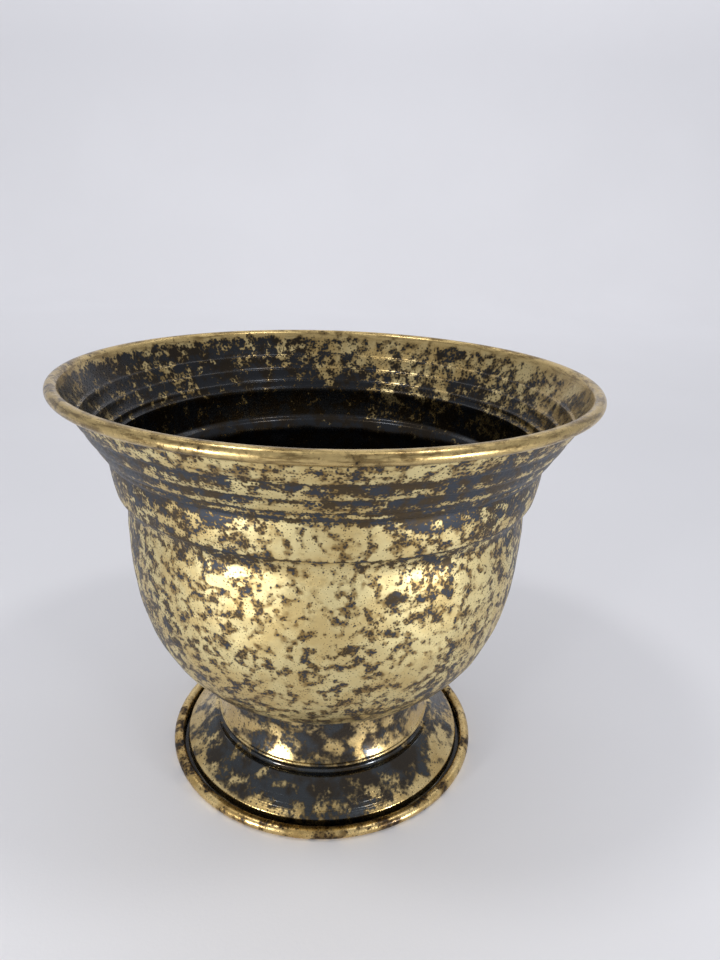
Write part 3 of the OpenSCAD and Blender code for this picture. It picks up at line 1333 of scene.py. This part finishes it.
@dataclass
class Studio:
    """Pale sweep, lamps, room and camera. Sizes are in metres."""

    sweep_width: float = 5.0
    sweep_front: float = -1.6
    sweep_back: float = 1.5
    sweep_bend: float = 0.7
    sweep_height: float = 3.0
    room_strength: float = 0.56
    camera_place: Vector = field(default_factory=lambda: Vector((0.0127, -0.2610, 0.2174)))
    camera_right: Vector = field(default_factory=lambda: Vector((0.999286, 0.013240, 0.035376)))
    camera_up: Vector = field(default_factory=lambda: Vector((-0.037772, 0.350280, 0.935881)))
    camera_lens: float = 26.06

    def build(self) -> None:
        """Builds the whole studio."""
        self.sweep()
        wall = (0.0, self.sweep_back + self.sweep_bend, 0.7)
        for lamp in (
            Lamp("left_lamp", -64, 67, 0.9, (0.14, 0.13), 1.3),
            Lamp("right_lamp", 68, 66, 0.9, (0.14, 0.13), 1.15),
            Lamp("left_card", -38, -3, 0.5, (0.05, 0.1), 0.37, spread=90.0),
            Lamp("right_card", 48, -3, 0.5, (0.05, 0.1), 0.31, spread=90.0),
            Lamp("wall_lamp", 0, 50, 1.6, (4.0, 0.6), 22.0, wall),
        ):
            lamp.hang()
        world = bpy.data.worlds.new("pale_room")
        world.use_nodes = True
        background = world.node_tree.nodes["Background"]
        background.inputs["Color"].default_value = (0.95, 0.96, 1.0, 1.0)
        background.inputs["Strength"].default_value = self.room_strength
        bpy.context.scene.world = world
        bpy.context.scene.view_settings.view_transform = "Standard"
        self.camera()

    def sweep(self) -> None:
        """Makes the floor that curves up into the backdrop."""
        line = [Vector((self.sweep_front, 0))]
        line += sweep(Vector((self.sweep_back, self.sweep_bend)), self.sweep_bend, -90, 0, 24)
        line.append(Vector((self.sweep_back + self.sweep_bend, self.sweep_height)))
        form = bmesh.new()
        half = self.sweep_width / 2
        rows = [[form.verts.new((x, p.x, p.y)) for x in (-half, half)] for p in line]
        for (a, b), (c, d) in zip(rows, rows[1:]):
            form.faces.new((a, b, d, c))
        mesh_object("studio_sweep", form, Paper().material())

    def camera(self) -> None:
        """Places the camera."""
        data = bpy.data.cameras.new("camera")
        data.lens = self.camera_lens
        data.sensor_width = 36.0
        data.clip_start = 0.01
        camera = bpy.data.objects.new("camera", data)
        back = self.camera_right.cross(self.camera_up)
        turned = Matrix((self.camera_right, self.camera_up, back)).transposed()
        camera.matrix_world = Matrix.Translation(self.camera_place) @ turned.to_4x4()
        bpy.context.scene.collection.objects.link(camera)
        bpy.context.scene.camera = camera


BOWL_OUTSIDE = PatinaBrass(
    name="patina_bowl_outside",
    cover=(
        (38.0, 0.68), (46.0, 0.62), (56.0, 0.55), (75.0, 0.46), (100.0, 0.44), (116.0, 0.48),
        (122.6, 0.62), (123.4, 0.92), (124.2, 0.46), (130.0, 0.52), (136.0, 0.6), (138.2, 0.85),
        (139.2, 0.52), (141.0, 0.8), (142.0, 0.5), (145.9, 0.82), (146.8, 0.5), (151.8, 0.8),
        (152.8, 0.5), (157.0, 0.5), (164.0, 0.45),
    ),
    streaky=((38.0, 0.5), (60.0, 0.2), (110.0, 0.0), (134.0, 0.15), (139.0, 0.5), (158.0, 0.3)),
    edge=0.036,
    # Painted shade: a near-black line under the rim's bead, where it meets the flare.
    crease=Crease(93.0, 96.2, 158.4, 160.2),
    # Partly real patina, partly painted shade at the bowl's left and right.
    sides=0.14,
)
BOWL_INSIDE = PatinaBrass(
    name="patina_bowl_inside",
    cover=((38.0, 0.95), (120.0, 0.9), (135.0, 0.74), (150.0, 0.67), (160.0, 0.62), (164.0, 0.58)),
    worn_from=95.2,
    pale=paint(196, 177, 128),
    golden=paint(170, 145, 94),
    film=paint(118, 97, 60),
    slate=paint(35, 37, 41),
    umber=paint(36, 28, 17),
    blotch=5.0,
    grit=1.2,
    grittiness=0.2,
    edge=0.055,
    patina_gloss=0.26,
    worn_gloss=0.32,
    coat=0.15,
    # Barer brass on the right inner wall: partly real wear, partly painted light from the left lamp.
    lean=-0.1,
    turn=20.0,
)
FOOT_OUTSIDE = PatinaBrass(
    name="patina_foot_outside",
    cover=(
        (0.0, 0.5), (3.0, 0.5), (4.6, 0.62), (6.0, 0.72), (10.0, 0.78), (14.0, 0.86), (15.6, 0.75),
        (16.6, 0.42), (19.0, 0.54), (26.0, 0.58), (37.0, 0.66),
    ),
    streaky=((0.0, 0.1), (14.0, 0.15), (37.0, 0.0)),
    # Painted shade: a near-black line in the groove between the skirt and the rolled edge.
    crease=Crease(60.0, 62.2, -1.0, 4.2),
    # Painted light: less patina at the foot's left and right, for the pale room reflected there.
    sides=-0.2,
    pale=paint(220, 196, 140),
    golden=paint(196, 168, 110),
    film=paint(92, 76, 50),
    slate=paint(52, 56, 60),
    umber=paint(44, 36, 25),
    blotch=7.0,
    grit=1.4,
    grittiness=0.08,
    edge=0.055,
    patina_gloss=0.24,
    worn_gloss=0.3,
    coat=0.5,
    coat_gloss=0.06,
    turn=43.0,
)
FOOT_UNDERSIDE = PatinaBrass(
    name="patina_foot_underside",
    cover=((0.0, 0.44), (37.0, 0.7)),
    pale=paint(216, 190, 134),
    golden=paint(188, 158, 100),
    film=paint(104, 80, 46),
    slate=paint(46, 42, 38),
    umber=paint(52, 38, 22),
    blotch=6.0,
    grit=1.2,
    edge=0.05,
    worn_gloss=0.32,
    turn=60.0,
)


def main() -> None:
    """Builds the pot and its studio."""
    logging.basicConfig(level=logging.INFO, format="%(message)s")
    Studio().build()
    sheet, tree = Sheet(), SpinningTree()
    Bowl(sheet).build(tree, BOWL_OUTSIDE, BOWL_INSIDE)
    Foot(sheet).build(tree, FOOT_OUTSIDE, FOOT_UNDERSIDE)
    bolt_brass = BareMetal("turned_brass", paint(214, 178, 104), paint(150, 114, 58))
    Fixing().build(bolt_brass)
    plated = BareMetal("zinc_plate", paint(186, 188, 190), paint(128, 130, 132)).material()
    wire = BareMetal("drawn_steel", paint(150, 150, 152), paint(96, 86, 78)).material()
    for node in ("foot_washer", "spring_washer", "nut"):
        dress_cad(node, plated)
    for node in ("rim_wire", "foot_wire"):
        dress_cad(node, wire)
    dress_cad("flat_washer", bpy.data.materials["turned_brass"])
    dress_cad("sealing_washer", Rubber().material())


if __name__ == "__main__":
    main()
